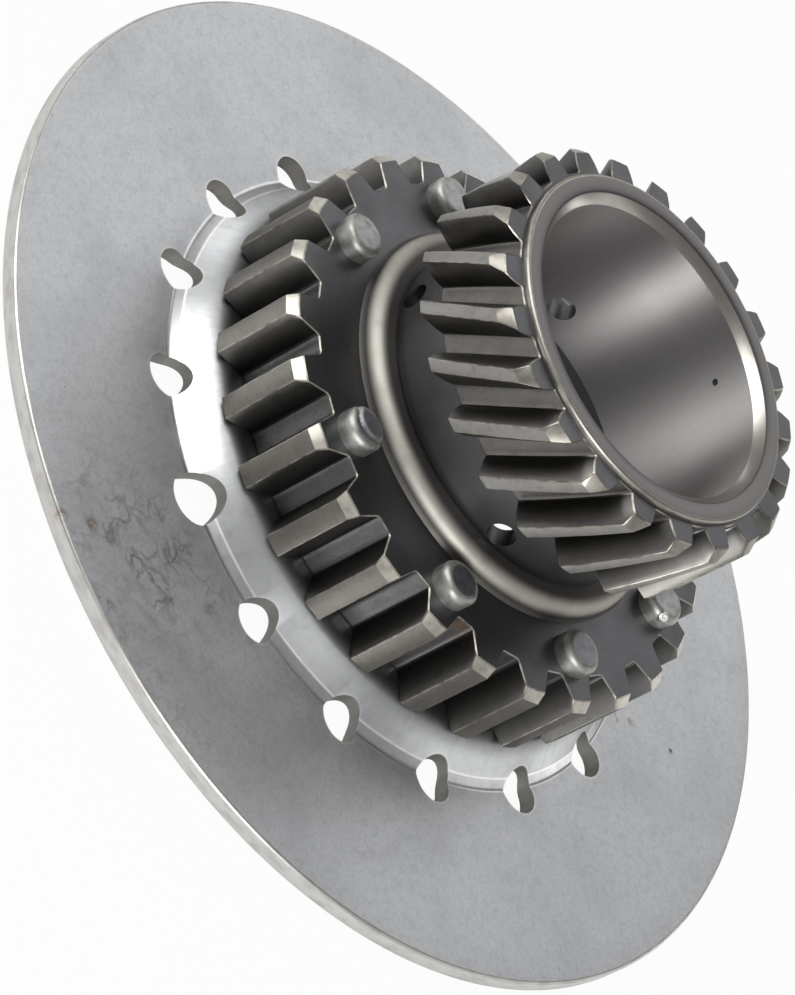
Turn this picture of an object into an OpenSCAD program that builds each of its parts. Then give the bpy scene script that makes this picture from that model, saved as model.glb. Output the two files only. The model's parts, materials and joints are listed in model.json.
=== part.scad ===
// Clutch pinion gear: a pressed back plate riveted to a splined hub with a helical pinion.
// Units are millimetres. +Z runs along the gear's axis towards the pinion, the back of the
// plate lies on z = 0, and +X passes through a spline tooth that has a rivet below it.

/* [Back plate] */
// Outside diameter of the back plate
plate_d = 108; // [100:1:120]
// Thickness of the plate's sheet
sheet_t = 2; // [1.6:0.1:2.2]
// Height of the plate's raised centre above its flat rim
dish_rise = 3.5; // [3:0.1:4.5]
// Diameter of the crease at the foot of the raised centre
crease_d = 64.8; // [64.4:0.1:66]
// Diameter of the hole in the middle of the plate
plate_bore_d = 40; // [37:0.5:42]
// Number of round holes along the crease
plate_hole_count = 16; // [8:1:20]
// Diameter of the round holes
plate_hole_d = 4.6; // [4:0.1:5.4]
// Diameter of the one wider hole, on the -X side
wide_hole_d = 5.6; // [4:0.1:5.8]
// Diameter of the circle through the middles of the round holes
plate_hole_circle_d = 67.8; // [67.4:0.1:69]

/* [Spline hub] */
// Number of spline teeth
spline_teeth = 26; // [20:2:30]
// Diameter over the spline teeth
spline_tip_d = 60.8; // [59:0.2:61.4]
// Diameter at the roots of the spline teeth
spline_root_d = 53.6; // [52.5:0.1:55]
// Thickness of the hub's flange, which is the length of the spline
flange_t = 10.35; // [8:0.05:14]
// Width of a spline tooth across its tip
spline_tip_w = 2.3; // [1.6:0.1:3]
// Width of a spline tooth at its root
spline_root_w = 4.4; // [3.6:0.1:5]

/* [Neck and shoulder] */
// Diameter of the plain neck between the flange and the pinion
neck_d = 36; // [35.4:0.1:36.8]
// Length of the neck between the shoulder and the pinion
neck_len = 6.85; // [5:0.05:10]
// Diameter of the rounded shoulder on the flange
shoulder_d = 41.8; // [41:0.1:43]
// Height of the rounded shoulder above the flange
shoulder_h = 2.15; // [2:0.05:3]
// Diameter of the four oil holes through the neck
oil_hole_d = 3; // [1.5:0.1:3.2]

/* [Pinion] */
// Number of pinion teeth
pinion_teeth = 22; // [22:1:25]
// Normal module of the pinion teeth
normal_module = 1.64; // [1.62:0.01:1.75]
// Helix angle of the pinion teeth, right-hand
helix_angle = 27.6; // [26:0.1:30]
// Normal pressure angle of the pinion teeth
pressure_angle = 17.5; // [15:0.5:20]
// Face width of the pinion
pinion_w = 10.45; // [6:0.05:16]

/* [Bore] */
// Diameter of the running bore
bore_d = 31.4; // [28:0.1:32]
// Height of the proud ring round the bore above the pinion's teeth
ring_h = 0.65; // [0.3:0.05:1.5]
// Diameter of the wider bore behind the running bore
counterbore_d = 35.6; // [34:0.1:36.6]
// Depth of the wider bore from the hub's back face
counterbore_depth = 10.9; // [4:0.1:11]

/* [Rivets] */
// Diameter of the rivets' front heads
rivet_head_d = 4.8; // [4.4:0.1:5.2]
// Height of the front heads above the flange
rivet_head_h = 2; // [1:0.1:2.5]
// Diameter of the rivets' shanks
shank_d = 3.6; // [3:0.1:3.7]
// Diameter of the rivets' back heads
back_head_d = 7; // [5:0.1:8]
// Diameter of the circle through the rivets
rivet_circle_d = 49.4; // [48.4:0.1:49.6]

/* [Hidden] */
$fn = 96;

// How far a cutting shape runs past the face it leaves.
past = 1;
// Number of straight steps in a rounded corner of a turned or pressed profile.
corner_steps = 6;

// Heights of the faces across the axis, from the floor up.
dish_top_z = sheet_t + dish_rise;
flange_z = dish_top_z + flange_t;
shoulder_z = flange_z + shoulder_h;
pinion_back_z = shoulder_z + neck_len;
pinion_front_z = pinion_back_z + pinion_w;
ring_z = pinion_front_z + ring_h;

// Plate rim: the sheared front corner is rounder than the back one.
rim_round = 0.4;
rim_back_bevel = 0.3;
// Pressed step: a shallow bead runs round outside the crease, then a 45 degree cone rises
// from the crease and rolls over into the flat centre. The press thins the sheet on the cone.
step_angle = 45;
step_t = 1;
bead_w = 3.5;
bead_depth = 0.2;
bead_riser_w = 1;
crease_lift = 0.5;
roll_r = 2.5;
foot_bevel = 0.5;
plate_hole_phase = 0.9;
wide_hole = 8;

// Spline: bevel on the front ends of the teeth, and the share of a tooth below its root circle.
spline_bevel = 0.9;
tooth_sink = 1;

// Shoulder: radius of its outer edge.
shoulder_round = 1.8;

// Oil holes: four, midway between the axes, just above the shoulder.
oil_hole_count = 4;
oil_hole_phase = 45;
oil_hole_z = shoulder_z + oil_hole_d / 2 + 0.2;

// Pinion tooth form, in modules, and the share of the pitch circle that the teeth fill.
addendum = 1.11;
dedendum = 0.8;
tooth_fill = 0.515;
pinion_phase = 6.8;
pitch_r = pinion_teeth * normal_module / (2 * cos(helix_angle));
pinion_tip_r = pitch_r + addendum * normal_module;
pinion_root_r = pitch_r - dedendum * normal_module;
transverse_angle = atan(tan(pressure_angle) / cos(helix_angle));
base_r = pitch_r * cos(transverse_angle);
twist_per_mm = tan(helix_angle) / pitch_r * 180 / PI;
// Bevel that takes the corners off the teeth's front ends.
pinion_bevel_w = 0.9;
pinion_bevel_h = 1.25;
flank_steps = 4;
helix_steps = 6;

// Ring round the bore, and the bevel at the bore's mouth.
ring_gap = 0.35;
ring_round = 0.4;
ring_r = pinion_root_r - ring_gap;
bore_bevel = 1;

// Rivets: they stand under every third tooth, with one gap of four teeth in each half turn.
rivets_per_half = 4;
teeth_between_rivets = 3;
rivet_clear = 0.05;
rivet_round = 0.8;
back_head_h = 1.6;

// Points along an arc of a turned profile, from one angle to another.
function arc(centre, r, from, to) = [
    for (i = [0:corner_steps])
        let (a = from + (to - from) * i / corner_steps)
        centre + r * [cos(a), sin(a)]
];

// Involute function, in degrees.
function involute(a) = tan(a) * 180 / PI - a;

// Half the angle that a pinion tooth spans at radius r.
function tooth_half_angle(r) =
    180 * tooth_fill / pinion_teeth + involute(transverse_angle)
    - (r > base_r ? involute(acos(base_r / r)) : 0);

// Radius that the front bevel leaves to the teeth at height z.
function tip_limit(z) =
    min(pinion_tip_r,
        pinion_tip_r - pinion_bevel_w * (1 - (pinion_front_z - z) / pinion_bevel_h));

// Outline of the whole pinion at height z, turned to follow the helix.
function pinion_outline(z) = [
    for (t = [0:pinion_teeth - 1], side = [-1, 1], i = [0:flank_steps])
        let (
            step = side < 0 ? i : flank_steps - i,
            r = pinion_root_r + (tip_limit(z) - pinion_root_r) * step / flank_steps,
            a = 360 * t / pinion_teeth + pinion_phase
                - twist_per_mm * (pinion_front_z - z) + side * tooth_half_angle(r)
        )
        [r * cos(a), r * sin(a), z]
];

// A solid disc with the helical teeth cut on its edge.
module helical_teeth() {
    bevel_z = pinion_front_z - pinion_bevel_h;
    heights = [
        for (i = [0:helix_steps]) pinion_back_z + (bevel_z - pinion_back_z) * i / helix_steps,
        pinion_front_z
    ];
    around = pinion_teeth * 2 * (flank_steps + 1);
    last = len(heights) - 1;
    middle_back = around * len(heights);
    middle_front = middle_back + 1;
    points = concat(
        [for (z = heights, p = pinion_outline(z)) p],
        [[0, 0, pinion_back_z], [0, 0, pinion_front_z]]
    );
    sides = [
        for (k = [0:last - 1], i = [0:around - 1])
            let (here = k * around + i, next = k * around + (i + 1) % around)
            each [[here, here + around, next + around], [here, next + around, next]]
    ];
    ends = [
        for (i = [0:around - 1])
            let (next = (i + 1) % around)
            each [[middle_back, i, next], [middle_front, last * around + next, last * around + i]]
    ];
    polyhedron(points, concat(sides, ends));
}

// The turned outside of the forging, without its teeth and bore.
module turned_body() {
    shoulder_c = shoulder_d / 2 - shoulder_round;
    ring_c = ring_r - ring_round;
    rotate_extrude()
        polygon(concat(
            [[0, dish_top_z], [spline_root_d / 2, dish_top_z], [spline_root_d / 2, flange_z]],
            [[shoulder_d / 2, flange_z]],
            arc([shoulder_c, shoulder_z - shoulder_round], shoulder_round, 0, 90),
            [[neck_d / 2, shoulder_z], [neck_d / 2, pinion_back_z + pinion_w / 2]],
            [[ring_r, pinion_back_z + pinion_w / 2]],
            arc([ring_c, ring_z - ring_round], ring_round, 0, 90),
            [[0, ring_z]]
        ));
}

// The running bore with its bevelled mouth, and the wider bore behind it.
module bores() {
    shelf_z = dish_top_z + counterbore_depth;
    rotate_extrude()
        polygon([
            [0, dish_top_z - past],
            [counterbore_d / 2, dish_top_z - past],
            [counterbore_d / 2, shelf_z],
            [bore_d / 2, shelf_z],
            [bore_d / 2, ring_z - bore_bevel],
            [bore_d / 2 + bore_bevel + past, ring_z + past],
            [0, ring_z + past]
        ]);
}

// One spline tooth before its ends are turned to size.
module spline_tooth() {
    outer = spline_tip_d / 2 + past;
    inner = spline_root_d / 2 - tooth_sink;
    slope = (spline_root_w - spline_tip_w) / (spline_tip_d - spline_root_d);
    outer_w = spline_tip_w / 2 - slope * past;
    inner_w = spline_root_w / 2 + slope * tooth_sink;
    translate([0, 0, dish_top_z])
        linear_extrude(flange_t)
            polygon([[inner, -inner_w], [outer, -outer_w], [outer, outer_w], [inner, inner_w]]);
}

// The turned outline that limits the spline teeth: straight, with a bevel at the front.
module spline_limit() {
    tip_r = spline_tip_d / 2;
    translate([0, 0, dish_top_z])
        cylinder(r = tip_r, h = flange_t - spline_bevel);
    translate([0, 0, flange_z - spline_bevel])
        cylinder(r1 = tip_r, r2 = tip_r - spline_bevel, h = spline_bevel);
}

module spline() {
    intersection() {
        for (t = [0:spline_teeth - 1])
            rotate([0, 0, 360 * t / spline_teeth])
                spline_tooth();
        spline_limit();
    }
}

// Puts a copy of what follows at each rivet's place.
module at_rivets() {
    for (half = [0, 180], i = [0:rivets_per_half - 1])
        rotate([0, 0, half + 360 * teeth_between_rivets * i / spline_teeth])
            translate([rivet_circle_d / 2, 0, 0])
                children();
}

module rivet_hole() {
    translate([0, 0, -past])
        cylinder(d = shank_d + 2 * rivet_clear, h = flange_z + 2 * past);
}

module oil_holes() {
    for (i = [0:oil_hole_count - 1])
        rotate([0, 0, oil_hole_phase + 360 * i / oil_hole_count])
            translate([0, 0, oil_hole_z])
                rotate([0, 90, 0])
                    cylinder(d = oil_hole_d, h = neck_d / 2 + past);
}

// Cross-section of the pressed sheet, from the rim's back corner over the front to the back.
module plate_section() {
    plate_r = plate_d / 2;
    crease_r = crease_d / 2;
    crease_z = sheet_t + crease_lift;
    // The cone would meet the flat centre at this radius if the corner were sharp.
    corner_r = crease_r - (dish_top_z - crease_z) / tan(step_angle);
    roll_c = [corner_r - roll_r * tan(step_angle / 2), dish_top_z - roll_r];
    // The back of the cone meets the floor here, and the flat back of the centre further in.
    back_foot_r = crease_r + crease_z / tan(step_angle) - step_t / sin(step_angle);
    back_corner_r = back_foot_r - dish_rise / tan(step_angle);
    polygon(concat(
        [[plate_r - rim_back_bevel, 0], [plate_r, rim_back_bevel]],
        arc([plate_r - rim_round, sheet_t - rim_round], rim_round, 0, 90),
        [[crease_r + bead_w, sheet_t], [crease_r + bead_riser_w, sheet_t - bead_depth]],
        [[crease_r, crease_z]],
        arc(roll_c, roll_r, 90 - step_angle, 90),
        [[plate_bore_d / 2, dish_top_z], [plate_bore_d / 2, dish_rise]],
        [[back_corner_r - foot_bevel, dish_rise]],
        [[back_corner_r + foot_bevel / 2, dish_rise - foot_bevel / 2 * tan(step_angle)]],
        [[back_foot_r - foot_bevel, foot_bevel * tan(step_angle)], [back_foot_r + foot_bevel, 0]]
    ));
}

module back_plate() {
    color("silver")
        difference() {
            rotate_extrude()
                plate_section();
            for (i = [0:plate_hole_count - 1])
                rotate([0, 0, plate_hole_phase + 360 * i / plate_hole_count])
                    translate([plate_hole_circle_d / 2, 0, -past])
                        cylinder(d = i == wide_hole ? wide_hole_d : plate_hole_d,
                                 h = dish_top_z + 2 * past);
            at_rivets()
                rivet_hole();
        }
}

module pinion_gear() {
    color("dimgray")
        difference() {
            union() {
                turned_body();
                spline();
                helical_teeth();
            }
            bores();
            oil_holes();
            at_rivets()
                rivet_hole();
        }
}

// One rivet: a pan head on the flange, a shank and a domed head behind the plate.
module rivet() {
    head_r = rivet_head_d / 2;
    head_top = flange_z + rivet_head_h;
    dome_r = (pow(back_head_d / 2, 2) + pow(back_head_h, 2)) / (2 * back_head_h);
    dome_half = asin(back_head_d / 2 / dome_r);
    rotate_extrude()
        polygon(concat(
            [[0, head_top]],
            arc([head_r - rivet_round, head_top - rivet_round], rivet_round, 90, 0),
            [[head_r, flange_z], [shank_d / 2, flange_z], [shank_d / 2, dish_rise]],
            arc([0, dish_rise - back_head_h + dome_r], dome_r, dome_half - 90, -90)
        ));
}

module rivets() {
    color("gainsboro")
        at_rivets()
            rivet();
}

back_plate();
pinion_gear();
rivets();
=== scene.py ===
"""Looks for the clutch pinion gear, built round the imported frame.

The plate, the gear and the rivets are modelled again with finer curves, softened edges and the
finishes of the real part, at the sizes of the CAD, and stand for its nodes. Lengths are in
millimetres and angles in degrees until a mesh is made.
"""

import json
import math
from collections.abc import Callable
from dataclasses import dataclass

import bpy
import numpy as np
from mathutils import Matrix, Vector, noise

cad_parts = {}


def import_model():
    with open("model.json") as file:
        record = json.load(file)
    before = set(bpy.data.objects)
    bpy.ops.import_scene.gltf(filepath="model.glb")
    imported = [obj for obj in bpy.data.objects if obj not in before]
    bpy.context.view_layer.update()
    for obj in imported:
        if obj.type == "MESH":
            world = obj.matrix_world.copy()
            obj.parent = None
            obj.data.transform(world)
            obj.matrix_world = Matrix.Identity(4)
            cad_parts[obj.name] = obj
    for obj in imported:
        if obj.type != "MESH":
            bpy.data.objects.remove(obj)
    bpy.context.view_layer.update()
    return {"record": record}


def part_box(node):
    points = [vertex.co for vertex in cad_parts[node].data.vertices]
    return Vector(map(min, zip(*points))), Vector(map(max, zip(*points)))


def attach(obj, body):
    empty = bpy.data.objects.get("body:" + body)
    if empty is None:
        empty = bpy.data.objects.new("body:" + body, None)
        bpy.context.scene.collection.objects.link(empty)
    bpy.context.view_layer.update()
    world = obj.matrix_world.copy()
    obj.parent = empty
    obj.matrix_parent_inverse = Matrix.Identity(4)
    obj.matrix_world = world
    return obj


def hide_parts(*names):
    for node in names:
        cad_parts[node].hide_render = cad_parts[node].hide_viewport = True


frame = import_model()

MM = 0.001
TURN = 2 * math.pi

# Sizes that the frame gives, in millimetres.
mounts = {m["name"]: m for m in frame["record"]["mounts"]}
bore_r = mounts["running_bore"]["dims"]["r_mm"]
bore_len = mounts["running_bore"]["dims"]["length_mm"]
counterbore_r = mounts["counterbore"]["dims"]["r_mm"]
counterbore_len = mounts["counterbore"]["dims"]["length_mm"]
hub_back_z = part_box("pinion_gear")[0].z / MM
ring_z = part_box("pinion_gear")[1].z / MM
dish_top_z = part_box("back_plate")[1].z / MM
rivet_back_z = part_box("rivets")[0].z / MM
rivet_top_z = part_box("rivets")[1].z / MM

# Back plate.
PLATE_R = 54.0
SHEET_T = 2.0
PLATE_BORE_R = 20.0
RIM_ROUND = 0.4
RIM_BACK_BEVEL = 0.3
CREASE_R = 32.4
CREASE_LIFT = 0.5
STEP_ANGLE = 45.0
STEP_T = 1.0
BEAD_DEPTH = 0.2
ROLL_R = 2.5
PLATE_HOLES = 16
PLATE_HOLE_R = 2.3
WIDE_HOLE_R = 2.8
WIDE_HOLE = 8
PLATE_HOLE_CIRCLE_R = 33.9
PLATE_HOLE_PHASE = 0.9

# The corners on the back of the step are rounded: how far the rounding starts from the sharp
# corner, and how far its middle lies from the flat face.
BACK_ROUND = 0.5
BACK_SAG = 0.15

# The shallow bead round the crease, on its flat side and on the step's side. Each point is its
# distance out from the crease in millimetres and its share of the bead's depth.
BEAD_FLAT_SIDE = [(3.5, 0.0), (2.3, 0.35)]
BEAD_STEP_SIDE = [(1.3, 1.0), (1.0, 0.9), (0.85, 0.4)]

# Radii of more rings that keep the faces of the flat rim short.
FACE_RINGS = (50.0, 45.0, 40.0)

# Splined flange, shoulder and neck of the gear.
FLANGE_T = 10.35
SPLINE_TEETH = 26
SPLINE_TIP_R = 30.4
SPLINE_ROOT_R = 26.8
SPLINE_TIP_W = 2.3
SPLINE_ROOT_W = 4.4
SPLINE_BEVEL = 0.9
SHOULDER_R = 20.9
SHOULDER_H = 2.15
SHOULDER_ROUND = 1.8
NECK_R = 18.0
NECK_LEN = 6.85
NECK_FILLET = 0.5
FOOT_GROOVE = 0.25
UNDERCUT = 0.1
OIL_HOLES = 4
OIL_HOLE_R = 1.5
OIL_HOLE_PHASE = 45.0
OIL_HOLE_LIFT = 1.7

# Radii of the rings on the flange's face that the rivet holes lie between.
FLANGE_RINGS = (23.5, 25.6)

# Helical pinion.
PINION_TEETH = 22
PINION_W = 10.45
NORMAL_MODULE = 1.64
HELIX_ANGLE = math.radians(27.6)
PRESSURE_ANGLE = math.radians(17.5)
TOOTH_FILL = 0.515
ADDENDUM = 1.11
DEDENDUM = 0.8
PINION_PHASE = 6.8
PINION_BEVEL_W = 0.9
PINION_BEVEL_H = 1.25
RING_GAP = 0.35
RING_ROUND = 0.4
BORE_BEVEL = 1.0

# Rivets.
RIVET_CIRCLE_R = 24.7
RIVETS_PER_HALF = 4
TEETH_BETWEEN_RIVETS = 3
RIVET_HEAD_R = 2.4
RIVET_ROUND = 0.8
SHANK_R = 1.8
RIVET_HOLE_R = 1.85
BACK_HEAD_R = 3.5
BACK_HEAD_H = 1.6
HEAD_FOOT = 0.5

# Radius of the tiny ring in the middle of a rivet's top and of its back dome.
MIDDLE_R = 0.01

# Edges that the real part has broken by tumbling and use.
EDGE = 0.12

# The largest share of an edge that a softened corner takes.
CORNER_SHARE = 0.45

# How far the rods that drill holes reach past the walls that they cut.
PAST = 1.0

# Number of flat sides that each round form is drawn with.
PLATE_SIDES = 480
PLATE_HOLE_SIDES = 72
OIL_HOLE_SIDES = 48
RIVET_HOLE_SIDES = 32
RIVET_SIDES = 48

# Width and drop of the strip along the plate's crease that is painted near white as a painted
# highlight.
CREASE_W = 0.18
CREASE_DROP = 0.15

flange_z = hub_back_z + FLANGE_T
shoulder_z = flange_z + SHOULDER_H
pinion_back_z = shoulder_z + NECK_LEN
pinion_front_z = pinion_back_z + PINION_W
shelf_z = hub_back_z + counterbore_len
pitch_r = PINION_TEETH * NORMAL_MODULE / (2 * math.cos(HELIX_ANGLE))
pinion_tip_r = pitch_r + ADDENDUM * NORMAL_MODULE
pinion_root_r = pitch_r - DEDENDUM * NORMAL_MODULE
ring_r = pinion_root_r - RING_GAP
transverse_angle = math.atan(math.tan(PRESSURE_ANGLE) / math.cos(HELIX_ANGLE))
base_r = pitch_r * math.cos(transverse_angle)


# Tooth outlines.


def polar(r, a):
    return np.array([r * math.cos(a), r * math.sin(a)])


def involute(a):
    return math.tan(a) - a


def pinion_half_angle(r):
    """Half the angle that a pinion tooth spans at radius r."""
    at_pitch = TURN * TOOTH_FILL / PINION_TEETH / 2 + involute(transverse_angle)
    return at_pitch - (involute(math.acos(base_r / r)) if r > base_r else 0.0)


def spline_half_angle(r):
    """Half the angle that a straight-sided spline tooth spans at radius r."""
    share = (r - SPLINE_ROOT_R) / (SPLINE_TIP_R - SPLINE_ROOT_R)
    width = SPLINE_ROOT_W + (SPLINE_TIP_W - SPLINE_ROOT_W) * share
    return math.asin(width / 2 / r)


@dataclass
class ToothForm:
    """A toothed outline. Both forms have the same number of points all round."""

    teeth: int
    root_r: float
    half_angle: Callable
    flank_points: int
    root_fillet: float
    tip_edge: float
    phase: float


# The pinion starts one tooth on, so that the neck between the two outlines twists less.
PINION = ToothForm(
    PINION_TEETH, pinion_root_r, pinion_half_angle, 5, 0.45, EDGE, PINION_PHASE + 360 / PINION_TEETH
)
SPLINE = ToothForm(SPLINE_TEETH, SPLINE_ROOT_R, spline_half_angle, 3, 0.35, EDGE, 0.0)


def soft_corner(before, corner, after, reach):
    """Three points that round a corner off, starting and ending `reach` away from it."""

    def back_off(point):
        away = point - corner
        length = np.linalg.norm(away)
        return corner + away * min(reach, CORNER_SHARE * length) / length

    start, end = back_off(before), back_off(after)
    return [start, (start + 2 * corner + end) / 4, end]


def tooth_outline(form, tip_r):
    """One tooth that points along +X, from the middle of one gap to just before the next."""
    gap = math.pi / form.teeth
    radii = np.linspace(form.root_r, tip_r, form.flank_points + 2)
    flank = [polar(r, -form.half_angle(r)) for r in radii]
    land = polar(form.root_r, -(gap + form.half_angle(form.root_r)) / 2)
    tip = polar(tip_r, 0)
    half = [
        polar(form.root_r, -gap),
        land,
        *soft_corner(land, flank[0], flank[1], form.root_fillet),
        *flank[1:-1],
        *soft_corner(flank[-2], flank[-1], tip, form.tip_edge),
    ]
    other = [p * (1, -1) for p in reversed(half[1:])]
    return np.array([*half, tip, *other])


def section(form, tip_r, z, turn=0.0, inset=0.0):
    """The whole toothed outline at height z, turned by so many degrees and drawn in by `inset`."""
    tooth = tooth_outline(form, tip_r)
    points = []
    for t in range(form.teeth):
        a = TURN * t / form.teeth + math.radians(form.phase + turn)
        spin = np.array([[math.cos(a), math.sin(a)], [-math.sin(a), math.cos(a)]])
        points.append(tooth @ spin)
    outline = np.concatenate(points)
    along = np.roll(outline, -1, axis=0) - np.roll(outline, 1, axis=0)
    inward = np.stack([-along[:, 1], along[:, 0]], axis=1)
    outline = outline + inset * inward / np.linalg.norm(inward, axis=1, keepdims=True)
    return np.column_stack([outline, np.full(len(outline), z)])


def angles_of(ring):
    return np.unwrap(np.arctan2(ring[:, 1], ring[:, 0]))


def circle(r, z, angles):
    return np.column_stack([r * np.cos(angles), r * np.sin(angles), np.full(len(angles), z)])


def arc(centre, r, start, end, steps=10):
    """Points (radius, height) along an arc of a turned profile, from one angle to another."""
    turns = [math.radians(start + (end - start) * i / steps) for i in range(steps + 1)]
    return [(centre[0] + r * math.cos(a), centre[1] + r * math.sin(a)) for a in turns]


# Meshes.


class Skin:
    """A closed skin of rings, where each strip from one ring to the next has its own finish."""

    def __init__(self):
        self.rings = []
        self.finishes = []

    def add(self, ring, finish):
        self.rings.append(ring)
        self.finishes.append(finish)

    def turn(self, profile, angles, finish):
        """Adds the rings of a turned profile, given as (radius, height) points."""
        for r, z in profile:
            self.add(circle(r, z, angles), finish)

    def tube(self, r, start, end, finish, steps):
        """Adds a straight tube that eases from one (height, angles) to another."""
        for share in np.linspace(0, 1, steps + 1):
            z, angles = (a + (b - a) * share for a, b in zip(start, end))
            self.add(circle(r, z, angles), finish)

    def mesh(self, name):
        """Builds the mesh, with the last ring joined to the first, and its materials."""
        around, rings = len(self.rings[0]), len(self.rings)
        strips = [[strip] * around if isinstance(strip, str) else strip for strip in self.finishes]
        finishes = sorted(set().union(*strips))
        verts = np.concatenate(self.rings) * MM
        faces, slots = [], []
        for k in range(rings):
            after = (k + 1) % rings
            for i in range(around):
                j = (i + 1) % around
                faces.append((k * around + i, k * around + j, after * around + j, after * around + i))
                slots.append(finishes.index(strips[k][i]))
        mesh = bpy.data.meshes.new(name)
        mesh.from_pydata(verts.tolist(), [], faces)
        for finish in finishes:
            mesh.materials.append(MATERIALS[finish])
        mesh.polygons.foreach_set("material_index", slots)
        return mesh


def place(name, mesh):
    piece = bpy.data.objects.new(name, mesh)
    bpy.context.scene.collection.objects.link(piece)
    return piece


def rod(r, start, end, sides):
    """Corners and faces of a straight rod between two points, for drilling a hole."""
    axis = Vector(end) - Vector(start)
    spin = axis.to_track_quat("Z", "Y").to_matrix()
    round_corners = [spin @ Vector((*polar(r, TURN * i / sides), 0)) for i in range(sides)]
    corners = [tuple((Vector(p) + c) * MM) for p in (start, end) for c in round_corners]
    walls = [(i, (i + 1) % sides, sides + (i + 1) % sides, sides + i) for i in range(sides)]
    return corners, [tuple(reversed(range(sides))), tuple(range(sides, 2 * sides)), *walls]


def drill(piece, rods, finish):
    """Cuts holes into a piece. The holes' walls get the material `finish`."""
    corners, faces = [], []
    for rod_corners, rod_faces in rods:
        faces += [tuple(len(corners) + i for i in face) for face in rod_faces]
        corners += rod_corners
    mesh = bpy.data.meshes.new("drills")
    mesh.from_pydata(corners, [], faces)
    mesh.materials.append(finish)
    drills = place("drills", mesh)
    cut = piece.modifiers.new("holes", "BOOLEAN")
    cut.operation = "DIFFERENCE"
    cut.solver = "EXACT"
    cut.material_mode = "TRANSFER"
    cut.object = drills
    bpy.context.view_layer.update()
    shaped = bpy.data.meshes.new_from_object(
        piece.evaluated_get(bpy.context.evaluated_depsgraph_get())
    )
    piece.modifiers.clear()
    piece.data = shaped
    bpy.data.objects.remove(drills)


def shade(piece, sharp=32.0):
    piece.data.shade_smooth()
    piece.data.set_sharp_from_angle(angle=math.radians(sharp))


def at_rivets():
    """Angles of the eight rivets: under every third tooth, with one gap of four each half turn."""
    step = 360 / SPLINE_TEETH * TEETH_BETWEEN_RIVETS
    return [half + step * i for half in (0, 180) for i in range(RIVETS_PER_HALF)]


# Materials.


def linear(hex_colour):
    """An sRGB colour such as "8a8c8e" as linear RGBA."""
    parts = [int(hex_colour[i:i + 2], 16) / 255 for i in (0, 2, 4)]
    return (*[c / 12.92 if c <= 0.04045 else ((c + 0.055) / 1.055) ** 2.4 for c in parts], 1.0)


def fill(tree, socket, value):
    """Links a value that changes over the surface to a socket, and sets a plain one on it."""
    if isinstance(value, bpy.types.NodeSocket):
        tree.links.new(value, socket)
    else:
        socket.default_value = value


def add(tree, kind, inputs=None, **settings):
    """Adds a node with its settings, and fills its inputs by name or number."""
    node = tree.nodes.new("ShaderNode" + kind)
    for name, value in settings.items():
        setattr(node, name, value)
    for name, value in (inputs or {}).items():
        fill(tree, node.inputs[name], value)
    return node


def per_mm(size):
    """Scale of a pattern in metres whose features are `size` millimetres."""
    return 1 / (size * MM)


# Socket numbers of a colour Mix node: factor, first colour, second colour and result.
FACTOR, FIRST, SECOND, MIXED = 0, 6, 7, 2


class Steel:
    """A steel surface: its colour and roughness are built up in layers, then finished."""

    def __init__(self, name, colour, roughness):
        self.material = bpy.data.materials.new(name)
        self.material.use_nodes = True
        self.tree = self.material.node_tree
        self.shader = self.tree.nodes["Principled BSDF"]
        self.shader.inputs["Metallic"].default_value = 1.0
        self.place = add(self.tree, "TexCoord").outputs["Object"]
        self.colour = linear(colour)
        self.roughness = roughness
        self.height = None

    def cloud(self, size, detail=3.0, stretch=None, distortion=0.0):
        """Soft noise from 0 to 1 with features of `size` millimetres."""
        where = self.place
        if stretch:
            where = add(
                self.tree, "Mapping", {"Vector": where, "Scale": stretch}
            ).outputs[0]
        return add(
            self.tree, "TexNoise",
            {"Vector": where, "Scale": per_mm(size), "Detail": detail, "Distortion": distortion},
        ).outputs["Fac"]

    def above(self, value, low, high):
        """0 where the value is under low, 1 where it is over high."""
        return add(
            self.tree, "MapRange",
            {"Value": value, "From Min": low, "From Max": high},
            interpolation_type="SMOOTHSTEP",
        ).outputs[0]

    def math(self, operation, first, second=0.0):
        return add(self.tree, "Math", {0: first, 1: second}, operation=operation).outputs[0]

    def tint(self, mask, colour, strength=1.0):
        """Mixes a colour in where the mask is 1."""
        mask = self.math("MULTIPLY", mask, strength)
        self.colour = add(
            self.tree, "Mix", {FACTOR: mask, FIRST: self.colour, SECOND: linear(colour)},
            data_type="RGBA",
        ).outputs[MIXED]

    def roughen(self, mask, amount):
        """Adds to the roughness where the mask is 1."""
        self.roughness = self.math("ADD", self.roughness, self.math("MULTIPLY", mask, amount))

    def raise_by(self, mask, depth):
        """Adds a relief of `depth` millimetres where the mask is 1."""
        relief = self.math("MULTIPLY", mask, depth * MM)
        self.height = relief if self.height is None else self.math("ADD", self.height, relief)

    def near(self, spot, reach):
        """1 at a spot given in millimetres, fading to 0 at the distance `reach`."""
        away = add(self.tree, "VectorMath", {0: self.place, 1: tuple(c * MM for c in spot)},
                   operation="DISTANCE").outputs["Value"]
        return self.math("SUBTRACT", 1.0, self.above(away, 0.0, reach * MM))

    def rust(self, spot, reach):
        """A little fresh rust round a spot, broken up by its grain."""
        grain = self.above(self.cloud(0.8, detail=4), 0.36, 0.52)
        self.tint(self.math("MULTIPLY", self.near(spot, reach), grain), RUST, 0.8)

    def finish(self):
        inputs = self.shader.inputs
        fill(self.tree, inputs["Base Color"], self.colour)
        fill(self.tree, inputs["Roughness"], self.roughness)
        if self.height is not None:
            bump = add(self.tree, "Bump", {"Height": self.height, "Distance": 1.0, "Strength": 1.0})
            fill(self.tree, inputs["Normal"], bump.outputs[0])
        return self.material


# The stained side of the plate: its middle and how far the stain reaches, in millimetres.
STAIN_SPOT = (-44, -9, 2)
STAIN_R = 24

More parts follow.
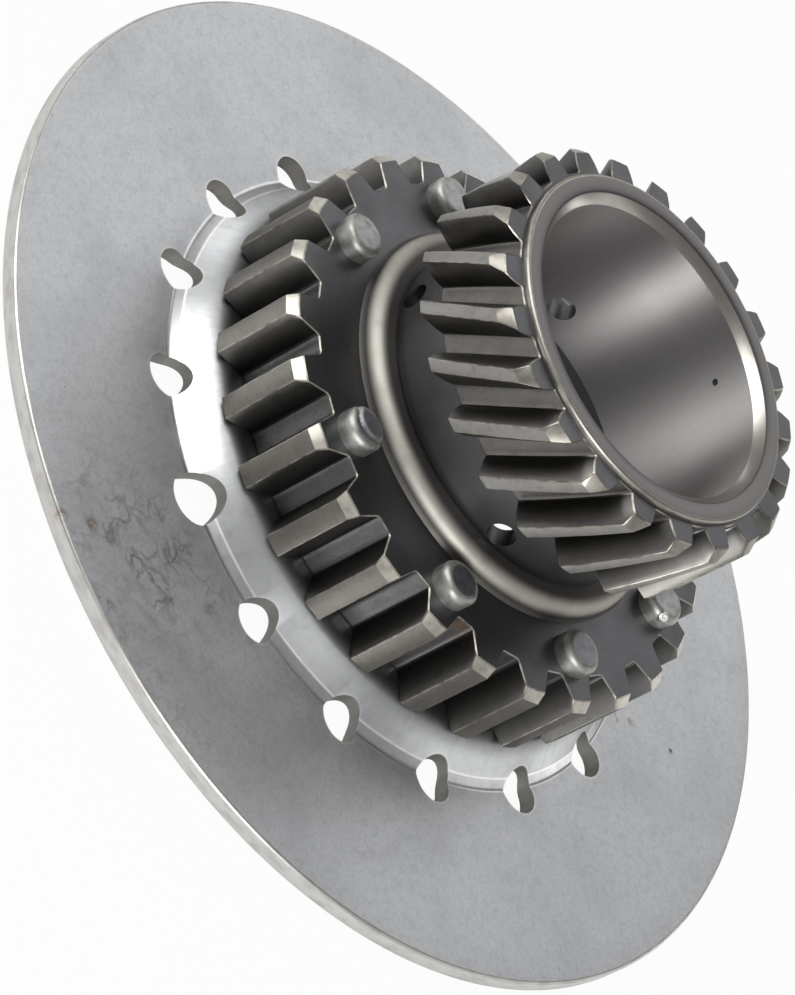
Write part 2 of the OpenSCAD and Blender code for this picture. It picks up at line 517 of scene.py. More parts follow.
# Small marks of use, each with its place and reach in millimetres.
PLATE_RUST = [
    ((-53.6, -1.3, 1.8), 1.0),
    ((-50, -2.4, 2), 1.2),
    ((21.2, -27.4, 2), 0.9),
    ((23.5, -28.1, 2), 0.7),
]
PLATE_CHIPS = [((28.7, -31.8, 2), 0.5)]
TOOTH_RUST = ((-18.4, -20.6, 15.0), 2.2)
BORE_PIT = ((15.6, -2.1, 31.1), 0.6)
# Spot and reach of the painted glint on one rivet's head.
RIVET_GLINT = ((12.6, -22.0, 17.5), 0.9)

# Thin fresh rust.
RUST = "8a6140"

# Width of the rubbed edge round the plate's holes.
HOLE_BURR_W = 0.35

# Radii between which painted shade darkens the corner of the plate's step against the hub.
CORNER_SHADE_OUTER_R = 31.4
CORNER_SHADE_INNER_R = 29.2

# Where painted shade starts on the shoulder's lit crown, and where it is full inside the crown and at
# the shoulder's foot: radii, and heights above the flange.
LIT_CROWN_R = 20.09
LIT_CROWN_H = 1.29
SHADED_INSIDE_R = 19.1
SHADED_FOOT_H = 0.43


def around_axis(steel):
    """Distance from the gear's axis in metres, the angle round it and the height."""
    split = add(steel.tree, "SeparateXYZ", {0: steel.place})
    x, y, z = split.outputs
    squares = steel.math("ADD", steel.math("MULTIPLY", x, x), steel.math("MULTIPLY", y, y))
    return steel.math("SQRT", squares), steel.math("ARCTAN2", y, x), z


def turning_lines(steel, spacing, along):
    """Fine rings that a lathe tool leaves, `spacing` millimetres apart along a coordinate."""
    lines = add(
        steel.tree, "TexNoise",
        {"W": steel.math("MULTIPLY", along, per_mm(spacing)), "Scale": 1.0, "Detail": 4.0},
        noise_dimensions="1D",
    )
    return lines.outputs["Fac"]


def from_plate_hole(steel):
    """Distance in metres from the axis of the nearest hole in the plate, by the law of cosines."""
    radius, angle, _ = around_axis(steel)
    step = TURN / PLATE_HOLES
    past = steel.math("SUBTRACT", angle, math.radians(PLATE_HOLE_PHASE) - step / 2)
    aside = steel.math("SUBTRACT", steel.math("FLOORED_MODULO", past, step), step / 2)
    circle_r = PLATE_HOLE_CIRCLE_R * MM
    squares = steel.math("ADD", steel.math("MULTIPLY", radius, radius), circle_r**2)
    along = steel.math("MULTIPLY", radius, steel.math("COSINE", aside))
    product = steel.math("MULTIPLY", along, 2 * circle_r)
    return steel.math("SQRT", steel.math("SUBTRACT", squares, product))


def burr_round_holes(steel):
    """The punch leaves a thin edge round each hole, rubbed bright since."""
    away = from_plate_hole(steel)
    edge = steel.above(away, (PLATE_HOLE_R + HOLE_BURR_W) * MM, PLATE_HOLE_R * MM)
    steel.tint(edge, "f4f4f2", 0.4)


def dried_film(steel, size, width, where, strength):
    """Dried edges of an oil film: a net of wavering dark lines, broken up in patches."""
    waver = add(steel.tree, "TexNoise", {"Vector": steel.place, "Scale": per_mm(3.0), "Detail": 4.0})
    shift = add(
        steel.tree, "VectorMath", {0: waver.outputs["Color"], 1: (size * MM,) * 3}, operation="MULTIPLY"
    ).outputs[0]
    bent = add(steel.tree, "VectorMath", {0: steel.place, 1: shift}, operation="ADD").outputs[0]
    net = add(
        steel.tree, "TexVoronoi", {"Vector": bent, "Scale": per_mm(size)}, feature="DISTANCE_TO_EDGE"
    ).outputs["Distance"]
    line = steel.above(net, width / size, 0.0)
    patchy = steel.above(steel.cloud(4.5, detail=3), 0.45, 0.62)
    steel.tint(steel.math("MULTIPLY", steel.math("MULTIPLY", line, patchy), where), "3c3c3e", strength)


def pressed_steel():
    """Cold-rolled sheet steel, pressed and then handled: satin, with old oil dried in patches."""
    steel = Steel("pressed_sheet_steel", "d3d4d6", 0.45)
    steel.tint(steel.above(steel.cloud(14, detail=5, distortion=0.6), 0.4, 0.75), "aeafb1", 0.3)
    steel.tint(steel.above(steel.cloud(1.1, detail=6, distortion=0.4), 0.42, 0.75), "a2a3a5", 0.22)
    steel.tint(steel.above(steel.cloud(0.4, detail=4), 0.42, 0.7), "9d9ea0", 0.22)
    steel.roughen(steel.cloud(2.5, detail=5), 0.1)
    stained = steel.near(STAIN_SPOT, STAIN_R)
    steel.roughen(stained, 0.08)
    mottle = steel.above(steel.cloud(1.6, detail=6, distortion=0.8), 0.46, 0.66)
    steel.tint(steel.math("MULTIPLY", mottle, stained), "8f9092", 0.22)
    dried_film(steel, 8.0, 0.45, stained, 0.4)
    dried_film(steel, 4.0, 0.25, stained, 0.3)
    pits = steel.above(steel.cloud(0.7, detail=2), 0.72, 0.8)
    steel.tint(pits, "5e5e5f", 0.5)
    for spot, reach in PLATE_RUST:
        steel.rust(spot, reach)
    for spot, reach in PLATE_CHIPS:
        steel.tint(steel.near(spot, reach), "2a2a2b", 0.9)
    burr_round_holes(steel)
    steel.raise_by(steel.cloud(0.5, detail=4), 0.005)
    return steel.finish()


def drawn_steel():
    """The step of the plate, rubbed bright by the press tool as the sheet flowed over it."""
    steel = Steel("drawn_sheet_steel", "dadbdc", 0.28)
    radius, angle, height = around_axis(steel)
    streak_w, streak_len = 0.8, 3.3
    around = steel.math("MULTIPLY", angle, CREASE_R / streak_w)
    up = steel.math("MULTIPLY", height, per_mm(streak_len))
    flow = add(steel.tree, "CombineXYZ", {0: around, 1: up}).outputs[0]
    streaks = add(steel.tree, "TexNoise", {"Vector": flow, "Scale": 1.0, "Detail": 4.0}).outputs["Fac"]
    steel.tint(steel.above(streaks, 0.4, 0.8), "c0c1c2", 0.4)
    steel.tint(steel.above(steel.cloud(1.3, detail=5), 0.45, 0.8), "b0b1b2", 0.4)
    steel.roughen(streaks, 0.08)
    burr_round_holes(steel)
    # Painted shade: the corner against the hub is darkened and made rougher.
    painted_corner_shade = steel.above(radius, CORNER_SHADE_OUTER_R * MM, CORNER_SHADE_INNER_R * MM)
    steel.tint(painted_corner_shade, "3c3c3e", 0.8)
    steel.roughen(painted_corner_shade, 0.15)
    return steel.finish()


def rubbed_crease():
    """The sharp foot of the step: a thin strip painted near white, a painted highlight along the
    crease.
    """
    steel = Steel("rubbed_crease", "ffffff", 0.36)
    steel.tint(steel.above(steel.cloud(2.0, detail=5), 0.45, 0.75), "c8c8c8", 0.5)
    return steel.finish()


def sheared_rim():
    """The blanked rim of the sheet: bright where the die slid, with a dull torn band in places."""
    steel = Steel("sheared_rim", "d4d3d0", 0.4)
    steel.tint(steel.above(steel.cloud(2.2, detail=5, stretch=(1, 1, 3)), 0.42, 0.7), "adaaa4", 0.5)
    for spot, reach in PLATE_RUST:
        steel.rust(spot, reach)
    return steel.finish()


def sheared_steel():
    """The wall that a punch leaves in sheet steel: torn, dull and darker than the face."""
    steel = Steel("punched_hole_wall", "b3b1ad", 0.55)
    steel.tint(steel.cloud(0.8, stretch=(1, 1, 0.2)), "8b8883", 0.7)
    return steel.finish()


def turned_steel(name="turned_hardened_steel", colour="6a6a6d"):
    """Turned and case-hardened steel: dark and oiled, with faint rings left by the tool."""
    steel = Steel(name, colour, 0.36)
    radius, _, height = around_axis(steel)
    rings = turning_lines(steel, 0.22, steel.math("ADD", radius, height))
    steel.tint(rings, "4a4a4d", 0.5)
    steel.tint(steel.above(steel.cloud(6, detail=4), 0.4, 0.8), "4b4846", 0.5)
    steel.raise_by(rings, 0.003)
    steel.roughen(steel.cloud(3), 0.1)
    steel.rust(*TOOTH_RUST)
    return steel.finish()


def rubbed_shoulder():
    """The round shoulder, burnished bright, with painted shade darkening its foot and its inner side.
    """
    steel = Steel("rubbed_shoulder", "bcb8b0", 0.5)
    radius, _, height = around_axis(steel)
    rings = turning_lines(steel, 0.15, steel.math("ADD", radius, height))
    steel.tint(rings, "a4a19b", 0.6)
    steel.tint(steel.above(steel.cloud(2.5, detail=5), 0.45, 0.8), "96938b", 0.5)
    # Painted shade: darker inside the crown and down at the foot, where the round turns away from the
    # light.
    steel.tint(steel.above(radius, LIT_CROWN_R * MM, SHADED_INSIDE_R * MM), "4f4d4c", 0.85)
    lit_z, shaded_z = flange_z + LIT_CROWN_H, flange_z + SHADED_FOOT_H
    steel.tint(steel.above(height, lit_z * MM, shaded_z * MM), "403e3d", 0.8)
    steel.roughen(steel.cloud(2), 0.12)
    return steel.finish()


def tooth_land(name, colour, worn):
    """Top or floor of the teeth: hobbed steel, worn and with a grainy film of old oil."""
    steel = Steel(name, colour, 0.4)
    steel.tint(steel.cloud(2.0, detail=5), worn, 0.8)
    steel.tint(steel.above(steel.cloud(0.5, detail=4), 0.5, 0.8), worn, 0.6)
    steel.raise_by(steel.cloud(0.4), 0.005)
    steel.rust(*TOOTH_RUST)
    return steel.finish()


def tooth_flank(name, root_r, tip_r):
    """Cut sides of the teeth, with painted shade darkening them from the tips down to the roots."""
    steel = Steel(name, "84827e", 0.42)
    radius, _, _ = around_axis(steel)
    # Painted shade: darker towards the roots, where the teeth shade one another.
    steel.tint(steel.above(radius, tip_r * MM, root_r * MM), "1d1d1f", 0.85)
    steel.tint(steel.cloud(1.5, detail=4), "3a3938", 0.5)
    steel.rust(*TOOTH_RUST)
    return steel.finish()


def bevel_steel(name, colour="c9c5bb", worn="9c988d"):
    """Bevels on the ends of the teeth, rubbed bright."""
    steel = Steel(name, colour, 0.4)
    steel.tint(steel.above(steel.cloud(1.0, detail=5), 0.4, 0.8), worn, 0.7)
    steel.rust(*TOOTH_RUST)
    return steel.finish()


def burr_steel():
    """The thin edges of the cuts, with a little of the burr still bright."""
    steel = Steel("cut_edge", "a19d93", 0.38)
    steel.tint(steel.above(steel.cloud(1.3, detail=5), 0.4, 0.7), "5d5b56", 0.8)
    steel.rust(*TOOTH_RUST)
    return steel.finish()


def ground_bore():
    """Ground running bore: marks run round it, so light spreads into bands along it."""
    steel = Steel("ground_bore", "b6b4b3", 0.6)
    steel.shader.inputs["Anisotropic"].default_value = 0.93
    # A quarter turn sets the spread of the light along the bore, across the grinding marks.
    steel.shader.inputs["Anisotropic Rotation"].default_value = 0.25
    tangent = add(steel.tree, "Tangent", direction_type="RADIAL", axis="Z")
    steel.tree.links.new(tangent.outputs[0], steel.shader.inputs["Tangent"])
    _, _, height = around_axis(steel)
    steel.tint(turning_lines(steel, 0.3, height), "b5b3b2", 0.5)
    steel.tint(steel.above(steel.cloud(0.8, detail=5), 0.5, 0.8), "a3a09f", 0.35)
    spot, reach = BORE_PIT
    steel.tint(steel.above(steel.near(spot, reach), 0.2, 0.5), "1c1b1b", 0.9)
    return steel.finish()


def faced_ring():
    """The ring round the bore: turned flat, with its edges polished by handling."""
    steel = Steel("faced_ring", "706d6d", 0.36)
    radius, _, _ = around_axis(steel)
    steel.tint(turning_lines(steel, 0.2, radius), "656363", 0.6)
    steel.tint(steel.cloud(3), "757170", 0.5)
    return steel.finish()


def bore_mouth():
    """The bevel at the mouth of the bore, cut bright."""
    steel = Steel("bore_mouth_bevel", "bdb9b2", 0.28)
    steel.tint(steel.cloud(1.5, detail=4), "98948c", 0.5)
    return steel.finish()


def knock_with_painted_glint(steel):
    """A knock on one rivet's head, raised a little, with a painted glint: white mixed into its colour
    there.
    """
    spot, reach = RIVET_GLINT
    glint_spot = steel.above(steel.near(spot, reach), 0.1, 0.5)
    steel.tint(glint_spot, "ffffff", 0.9)
    steel.raise_by(steel.math("MULTIPLY", glint_spot, steel.cloud(0.5, detail=1)), 0.25)


def rivet_side():
    """Soft steel rivet, its side polished by the snap tool that set it."""
    steel = Steel("set_rivet_side", "b4b3ae", 0.5)
    steel.tint(steel.above(steel.cloud(1.0, detail=5), 0.4, 0.8), "7f7e79", 0.7)
    steel.raise_by(steel.cloud(0.8), 0.015)
    knock_with_painted_glint(steel)
    return steel.finish()


def rivet_top(name, colour, worn):
    """Top of a set rivet: flattened and marked by the tool, each one a little differently."""
    steel = Steel(name, colour, 0.5)
    steel.tint(steel.above(steel.cloud(0.9, detail=5), 0.4, 0.75), worn, 0.8)
    steel.raise_by(steel.cloud(0.7), 0.015)
    knock_with_painted_glint(steel)
    return steel.finish()


FINISHES = {
    "pressed": pressed_steel,
    "drawn": drawn_steel,
    "crease": rubbed_crease,
    "rim": sheared_rim,
    "sheared": sheared_steel,
    "turned": turned_steel,
    "neck": lambda: turned_steel("turned_neck", "6c6a6b"),
    "shoulder": rubbed_shoulder,
    "spline_land": lambda: tooth_land("spline_land", "908c85", "6f6b65"),
    # The floors between the spline's teeth take darker colours than the tops: painted shade.
    "spline_root": lambda: tooth_land("spline_root_land", "7d7c7b", "575655"),
    "spline_flank": lambda: tooth_flank("spline_flank", SPLINE_ROOT_R, SPLINE_TIP_R),
    "pinion_land": lambda: tooth_land("pinion_land", "a3a19c", "7a7874"),
    # The floors between the pinion's teeth take darker colours than the tops: painted shade.
    "pinion_root": lambda: tooth_land("pinion_root_land", "83807c", "5f5d5a"),
    "pinion_flank": lambda: tooth_flank("pinion_flank", pinion_root_r, pinion_tip_r),
    "spline_bevel": lambda: bevel_steel("spline_bevel"),
    "pinion_bevel": lambda: bevel_steel("pinion_bevel", "99958d", "75726b"),
    "burr": burr_steel,
    "bore": ground_bore,
    "mouth": bore_mouth,
    "ring": faced_ring,
    # The ring's rounded edge is painted lighter than its face: a painted highlight.
    "ring_edge": lambda: bevel_steel("ring_edge", "aba79f", "8a867f"),
    "rivet": rivet_side,
    "light_top": lambda: rivet_top("light_rivet_top", "b2b2b3", "8c8c8d"),
    "mid_top": lambda: rivet_top("mid_rivet_top", "a09ea3", "838186"),
    "dark_top": lambda: rivet_top("dark_rivet_top", "838286", "626165"),
}
MATERIALS = {name: make() for name, make in FINISHES.items()}


def tooth_columns(form, kind, top):
    """Finish of each column of faces round a toothed ring, from root to tip and back."""
    flank = [f"{kind}_flank"] * (form.flank_points + 1)
    half = [f"{kind}_root"] * 4 + flank + ["burr"] * 2 + [f"{kind}_{top}"]
    return (half + half[::-1]) * form.teeth


# The gear.


def bore_and_ring(skin, back_angles, front_angles):
    """The ground bore from its shelf to its bevelled mouth, and the proud ring round it."""
    bevel_r = bore_r + BORE_BEVEL
    ring_c = (ring_r - RING_ROUND, ring_z - RING_ROUND)
    skin.tube(bore_r, (shelf_z, back_angles), (shelf_z + bore_len, front_angles), "bore", steps=14)
    skin.finishes[-1] = "mouth"
    skin.turn([(bevel_r - EDGE, ring_z - EDGE), (bevel_r + EDGE, ring_z)], front_angles, "ring")
    # The ring's rounded edge takes the painted highlight.
    skin.turn(arc(ring_c, RING_ROUND, 90, 0, steps=5), front_angles, "ring_edge")
    skin.turn([(ring_r, pinion_front_z)], front_angles, "turned")


def toothed_wall(skin, form, tip_r, bevel, front_z, length, kind, lead=0.0, steps=4):
    """A toothed wall from its front face to its back face, with its teeth bevelled in front.

    `bevel` is the bevel's width and height. `lead` is the turn in degrees for each millimetre.
    """
    bevel_w, bevel_h = bevel
    skin.add(section(form, tip_r - bevel_w, front_z, 0, EDGE), "burr")
    bevels = tooth_columns(form, kind, "bevel")
    skin.add(section(form, tip_r - bevel_w, front_z - EDGE, lead * EDGE), bevels)
    lands = tooth_columns(form, kind, "land")
    for depth in np.linspace(bevel_h, length - EDGE, steps + 1):
        skin.add(section(form, tip_r, front_z - depth, lead * depth), lands)
    skin.finishes[-1] = "burr"
    skin.add(section(form, tip_r, front_z - length, lead * length, EDGE), "turned")


def neck_and_shoulder(skin, pinion_angles, angles):
    """The plain neck, the small groove at its foot, the round shoulder and the flange's face."""
    neck_top = pinion_back_z - NECK_FILLET
    shoulder_c = (SHOULDER_R - SHOULDER_ROUND, shoulder_z - SHOULDER_ROUND)
    skin.turn([(NECK_R + NECK_FILLET, pinion_back_z)], pinion_angles, "neck")
    skin.tube(NECK_R, (neck_top, pinion_angles), (shoulder_z + FOOT_GROOVE, angles), "neck", steps=8)
    skin.turn([(NECK_R - UNDERCUT, shoulder_z)], angles, "turned")
    skin.turn([(NECK_R + FOOT_GROOVE, shoulder_z)], angles, "shoulder")
    skin.turn(arc(shoulder_c, SHOULDER_ROUND, 90, 0, steps=12), angles, "shoulder")
    face = [SHOULDER_R + FOOT_GROOVE, *FLANGE_RINGS]
    skin.turn([(r, flange_z) for r in face], angles, "turned")


def counterbore(skin, angles):
    """The flange's back and the wider bore behind the running bore."""
    wall = [
        (counterbore_r + EDGE, hub_back_z),
        (counterbore_r, hub_back_z + EDGE),
        (counterbore_r, shelf_z),
    ]
    skin.turn(wall, angles, "turned")


def oil_hole_rods():
    """Rods for the holes that cross the neck into the bore."""
    z = shoulder_z + OIL_HOLE_LIFT
    inner_r, outer_r = bore_r - PAST, NECK_R + PAST
    rods = []
    for i in range(OIL_HOLES):
        way = math.radians(OIL_HOLE_PHASE + 360 * i / OIL_HOLES)
        inner, outer = (*polar(inner_r, way), z), (*polar(outer_r, way), z)
        rods.append(rod(OIL_HOLE_R, inner, outer, OIL_HOLE_SIDES))
    return rods


def rivet_hole_rods():
    """Rods for the rivets' holes in the flange."""
    rods = []
    for a in at_rivets():
        x, y = polar(RIVET_CIRCLE_R, math.radians(a))
        back, front = (x, y, hub_back_z - PAST), (x, y, flange_z + PAST)
        rods.append(rod(RIVET_HOLE_R, back, front, RIVET_HOLE_SIDES))
    return rods


def gear():
    """The forging: bore, proud ring, pinion, neck, shoulder, splined flange and counterbore."""
    lead = -math.degrees(math.tan(HELIX_ANGLE) / pitch_r)
    spline_angles = angles_of(section(SPLINE, SPLINE_TIP_R, 0))
    front_angles = angles_of(section(PINION, pinion_tip_r, 0))
    back_angles = front_angles + math.radians(lead * PINION_W)
    skin = Skin()
    bore_and_ring(skin, spline_angles, front_angles)
    bevel = (PINION_BEVEL_W, PINION_BEVEL_H)
    toothed_wall(skin, PINION, pinion_tip_r, bevel, pinion_front_z, PINION_W, "pinion", lead, steps=8)
    neck_and_shoulder(skin, back_angles, spline_angles)
    bevel = (SPLINE_BEVEL, SPLINE_BEVEL)
    toothed_wall(skin, SPLINE, SPLINE_TIP_R, bevel, flange_z, FLANGE_T, "spline")
    counterbore(skin, spline_angles)
    piece = place("pinion_gear_body", skin.mesh("pinion_gear_body"))
    drill(piece, oil_hole_rods() + rivet_hole_rods(), MATERIALS["turned"])
    shade(piece)
    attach(piece, "root")
    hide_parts("pinion_gear")


# The back plate.


def plate_front(crease_z):
    """Turned profiles of the plate's front from its rim to its flat centre, with their finishes."""
    # At 45 degrees the step goes as far in as it goes up.
    corner_r = CREASE_R - (dish_top_z - crease_z)
    roll_c = (corner_r - ROLL_R * math.tan(math.radians(STEP_ANGLE / 2)), dish_top_z - ROLL_R)

    def bead(points):
        return [(CREASE_R + out, SHEET_T - BEAD_DEPTH * share) for out, share in points]

    rim = [
        (PLATE_R - RIM_BACK_BEVEL, 0),
        (PLATE_R, RIM_BACK_BEVEL),
        *arc((PLATE_R - RIM_ROUND, SHEET_T - RIM_ROUND), RIM_ROUND, 0, 90)[:-1],
    ]
    face = [(r, SHEET_T) for r in (PLATE_R - RIM_ROUND, *FACE_RINGS)]
    return [
        (rim, "rim"),
        (face + bead(BEAD_FLAT_SIDE), "pressed"),
        (bead(BEAD_STEP_SIDE), "drawn"),
        # The thin strip along the crease carries the painted highlight.
        ([(CREASE_R + CREASE_W, crease_z - CREASE_DROP)], "crease"),
        ([(CREASE_R, crease_z), *arc(roll_c, ROLL_R, 90 - STEP_ANGLE, 90)], "drawn"),
    ]


def plate_back(crease_z):
    """Turned profile of the plate's centre hole and back, from the front to the flat rim."""
    foot_r = CREASE_R + crease_z - STEP_T * math.sqrt(2)
    corner_r = foot_r - (dish_top_z - SHEET_T)
    centre_z = dish_top_z - SHEET_T
    half = BACK_ROUND / 2
    return [
        (PLATE_BORE_R + EDGE, dish_top_z),
        (PLATE_BORE_R, dish_top_z - EDGE),
        (PLATE_BORE_R, centre_z + EDGE),
        (PLATE_BORE_R + EDGE, centre_z),
        (corner_r - BACK_ROUND, centre_z),
        (corner_r, centre_z - BACK_SAG),
        (corner_r + half, centre_z - half),
        (foot_r - BACK_ROUND, BACK_ROUND),
        (foot_r, BACK_SAG),
        (foot_r + BACK_ROUND, 0),
        (FACE_RINGS[1], 0),
    ]


def back_plate():
    """The pressed disc: round rim, flat face, bead and crease, rolled step and flat centre."""
    crease_z = SHEET_T + CREASE_LIFT
    angles = np.linspace(0, TURN, PLATE_SIDES, endpoint=False)
    skin = Skin()
    for profile, finish in plate_front(crease_z):
        skin.turn(profile, angles, finish)
    skin.turn(plate_back(crease_z), angles, "pressed")
    piece = place("back_plate_disc", skin.mesh("back_plate_disc"))
    rods = []
    for i in range(PLATE_HOLES):
        x, y = polar(PLATE_HOLE_CIRCLE_R, math.radians(PLATE_HOLE_PHASE + 360 * i / PLATE_HOLES))
        r = WIDE_HOLE_R if i == WIDE_HOLE else PLATE_HOLE_R
        rods.append(rod(r, (x, y, -PAST), (x, y, dish_top_z + PAST), PLATE_HOLE_SIDES))
    drill(piece, rods, MATERIALS["sheared"])
    shade(piece)
    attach(piece, "root")
    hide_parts("back_plate")


# The rivets.


def rivet_profile():
    """Half section of a set rivet, from the middle of its top to the middle of its back dome."""
    seat = rivet_back_z + BACK_HEAD_H
    dome_r = (BACK_HEAD_R**2 + BACK_HEAD_H**2) / (2 * BACK_HEAD_H)
    dome_half = math.degrees(math.asin(BACK_HEAD_R / dome_r))
    head_c = (RIVET_HEAD_R - RIVET_ROUND, rivet_top_z - RIVET_ROUND)
    top = [(r, rivet_top_z) for r in np.linspace(MIDDLE_R, RIVET_HEAD_R - RIVET_ROUND, 9)[:-1]]
    side = [
        *arc(head_c, RIVET_ROUND, 90, 0, steps=8),
        (RIVET_HEAD_R, flange_z + HEAD_FOOT),
        (RIVET_HEAD_R, flange_z),
        (SHANK_R, flange_z),
        (SHANK_R, seat),
        *arc((0, rivet_back_z + dome_r), dome_r, dome_half - 90, -90, steps=8)[:-1],
        (MIDDLE_R, rivet_back_z),
    ]
    return top, side


@dataclass
class RivetLook:
    """How the top of one rivet came out: its finish, and its dents and groove in millimetres."""

    top: str
    dent: float = 0.1
    groove: float = 0.0


# Size of the tool's dents in millimetres, and how far the head is out of round.
DENT_SIZE = 2.2
UNEVEN = 0.05

# How far apart in the noise the rivets take their dents, so that no two are alike.
NOISE_STEP = 7.0

# The curved groove that a worn tool leaves: the way to it from the middle, how far out it is,
# the radius that it bends to, and its width.
GROOVE_WAY = np.array([-0.93, -0.37])
GROOVE_PLACE = 0.7
GROOVE_BEND = 2.2
GROOVE_W = 0.22


def hammered(point, look, index):
    """A point of a rivet's head, moved as the setting tool left it."""
    where = Vector(point) / DENT_SIZE + Vector((NOISE_STEP * index, 0, 0))
    bend_centre = GROOVE_WAY * (GROOVE_PLACE - GROOVE_BEND)
    across = math.dist(point[:2], bend_centre) - GROOVE_BEND
    cut = look.groove * math.exp(-((across / GROOVE_W) ** 2))
    sunk = look.dent * min(0.0, noise.noise(where)) - cut
    out = 1 + UNEVEN * noise.noise(where + Vector((0, 0, NOISE_STEP)))
    return point[0] * out, point[1] * out, point[2] + sunk


def rivet(look, index, angle):
    """One set rivet in its place, with its head a little uneven."""
    top, side = rivet_profile()
    angles = np.linspace(0, TURN, RIVET_SIDES, endpoint=False)
    skin = Skin()
    skin.turn(top, angles, look.top)
    skin.turn(side, angles, "rivet")
    for ring in skin.rings:
        for i, point in enumerate(ring):
            if point[2] > flange_z + HEAD_FOOT:
                ring[i] = hammered(point, look, index)
        ring[:, :2] += polar(RIVET_CIRCLE_R, math.radians(angle))
    return skin


# The rivets in order round the circle, starting at +X.
RIVET_LOOKS = [
    RivetLook("light_top"),
    RivetLook("light_top"),
    RivetLook("light_top"),
    RivetLook("light_top", dent=0.25),
    RivetLook("mid_top", groove=0.35),
    RivetLook("dark_top"),
    RivetLook("mid_top"),
    RivetLook("light_top", dent=0.3),
]


def rivets():
    """All eight rivets in one piece, as in the CAD."""
    parts = [
        place("rivet", rivet(look, i, angle).mesh("rivet"))
        for i, (look, angle) in enumerate(zip(RIVET_LOOKS, at_rivets()))
    ]
    with bpy.context.temp_override(
        active_object=parts[0], selected_editable_objects=parts, selected_objects=parts
    ):
        bpy.ops.object.join()
    piece = parts[0]
    piece.name = piece.data.name = "set_rivets"
    shade(piece, 50)
    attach(piece, "root")
    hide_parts("rivets")


# The stage: camera, floor, lights and world.

CAMERA_AZIMUTH = 284.47
CAMERA_ELEVATION = 34.77
CAMERA_DISTANCE = 537.54
CAMERA_ROLL = -62.02
CAMERA_AIM = Vector((0.29, -1.13, 0.21))
CAMERA_LENS = 191.25

# Brightness of the room, the floor's paint, and how much of the floor's white is glow.
ROOM = 0.22
FLOOR_COLOUR = "d0d0d0"
FLOOR_WHITE = 0.95

# The floor lies just clear of the plate's back, in millimetres, and reaches this far in metres.
FLOOR_DROP = 0.05
FLOOR_REACH = 4.0

# Distance in millimetres over which the part hides the sky from the floor.
SHADOW_REACH = 30

# How far the soft lights are from the part, in metres.
LIGHT_DISTANCE = 1.0

# Soft lights: azimuth, elevation, width and height in metres, and radiance.
LIGHTS = {
    "key": (120, 44, 0.6, 0.9, 4.0),
    "second": (226, 26, 0.36, 0.4, 13.0),
    "backdrop": (23, 35, 0.62, 0.62, 1.07),
    "fill": (305, 23, 0.9, 0.5, 0.72),
    "low": (339, 8, 0.3, 0.14, 2.6),
    "side": (72, 14, 0.44, 0.24, 1.5),
}


def camera():
    """The camera at the photograph's angle, turned on its side as the part is in the picture."""
    a, e = math.radians(CAMERA_AZIMUTH), math.radians(CAMERA_ELEVATION)
    back = Vector((math.sin(a) * math.cos(e), -math.cos(a) * math.cos(e), math.sin(e)))
    data = bpy.data.cameras.new("camera")
    data.lens = CAMERA_LENS
    data.clip_start = 0.01
    piece = bpy.data.objects.new("camera", data)
    bpy.context.scene.collection.objects.link(piece)
    level = (-back).to_track_quat("-Z", "Y").to_matrix().to_4x4()
    roll = Matrix.Rotation(math.radians(-CAMERA_ROLL), 4, "Z")
    spot = Matrix.Translation((CAMERA_AIM + back * CAMERA_DISTANCE) * MM)
    piece.matrix_world = spot @ level @ roll
    bpy.context.scene.camera = piece


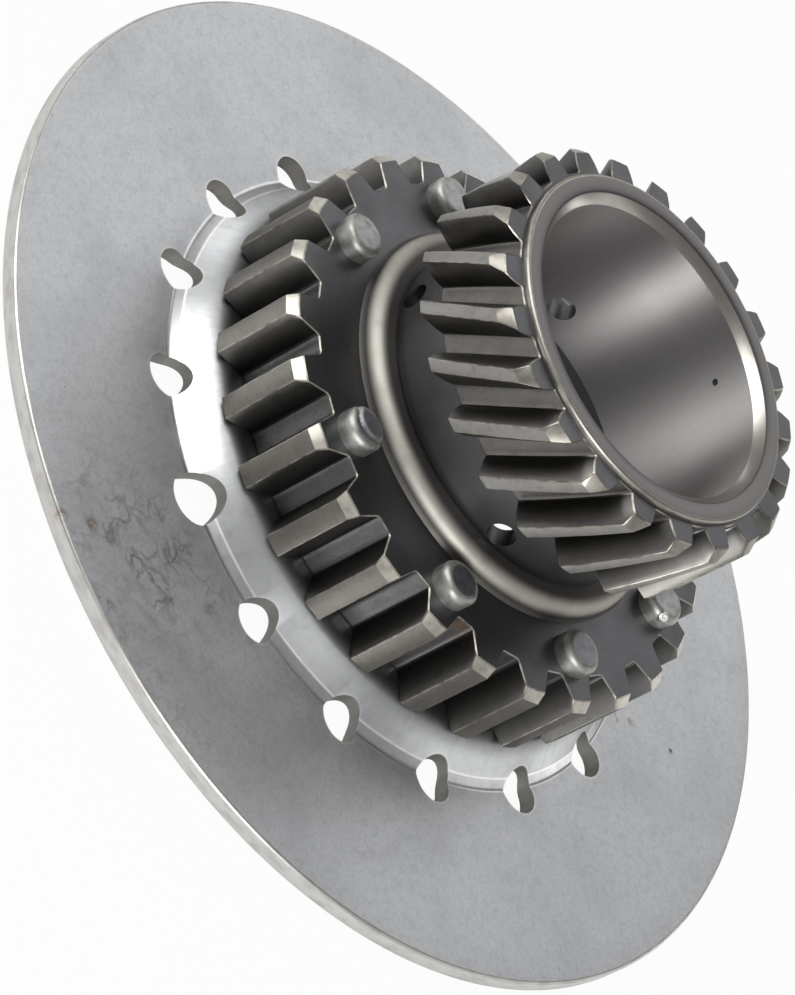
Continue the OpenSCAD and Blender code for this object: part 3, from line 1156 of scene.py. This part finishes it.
def softbox(name, azimuth, elevation, width, height, radiance):
    """An upright soft light that shines at the part, from a direction in the part's frame."""
    a, e = math.radians(azimuth), math.radians(elevation)
    way = Vector((math.cos(a) * math.cos(e), math.sin(a) * math.cos(e), math.sin(e)))
    data = bpy.data.lights.new(name, "AREA")
    data.shape = "RECTANGLE"
    data.size = width
    data.size_y = height
    data.energy = radiance * math.pi * width * height
    piece = bpy.data.objects.new(name, data)
    bpy.context.scene.collection.objects.link(piece)
    piece.location = way * LIGHT_DISTANCE
    piece.rotation_mode = "QUATERNION"
    piece.rotation_quaternion = way.to_track_quat("Z", "Y")


def floor():
    """A plain floor that looks white and keeps a faint shadow of the part."""
    z = -FLOOR_DROP * MM
    mesh = bpy.data.meshes.new("floor")
    corners = [(x * FLOOR_REACH, y * FLOOR_REACH, z) for x, y in ((-1, -1), (1, -1), (1, 1), (-1, 1))]
    mesh.from_pydata(corners, [], [(0, 1, 2, 3)])
    material = bpy.data.materials.new("white_floor")
    material.use_nodes = True
    tree = material.node_tree
    tree.nodes.remove(tree.nodes["Principled BSDF"])
    paint = add(tree, "BsdfDiffuse", {"Color": linear(FLOOR_COLOUR)}).outputs[0]
    glow = add(tree, "Emission", {"Color": linear("ffffff"), "Strength": 1.0}).outputs[0]
    path = add(tree, "LightPath").outputs
    bounced = add(
        tree, "Math", {0: path["Is Glossy Ray"], 1: path["Is Transmission Ray"]}, operation="MAXIMUM"
    ).outputs[0]
    # Metal reflects the white floor too, except under the part, where the open sky is hidden.
    sky = add(tree, "AmbientOcclusion", {"Distance": SHADOW_REACH * MM}, samples=8).outputs["AO"]
    mirrored = add(tree, "Math", {0: bounced, 1: sky}, operation="MULTIPLY").outputs[0]
    seen = add(tree, "Math", {0: path["Is Camera Ray"], 1: mirrored}, operation="MAXIMUM").outputs[0]
    white = add(tree, "Math", {0: seen, 1: FLOOR_WHITE}, operation="MULTIPLY").outputs[0]
    mix = add(tree, "MixShader", {0: white, 1: paint, 2: glow})
    tree.links.new(mix.outputs[0], tree.nodes["Material Output"].inputs[0])
    mesh.materials.append(material)
    place("floor", mesh)


def world():
    """An even grey room."""
    room = bpy.data.worlds.new("room")
    room.use_nodes = True
    bpy.context.scene.world = room
    background = room.node_tree.nodes["Background"]
    background.inputs["Color"].default_value = (1, 1, 1, 1)
    background.inputs["Strength"].default_value = ROOM


def stage():
    camera()
    floor()
    world()
    for name, light in LIGHTS.items():
        softbox(name, *light)
    bpy.context.scene.view_settings.view_transform = "Standard"


gear()
back_plate()
rivets()
stage()
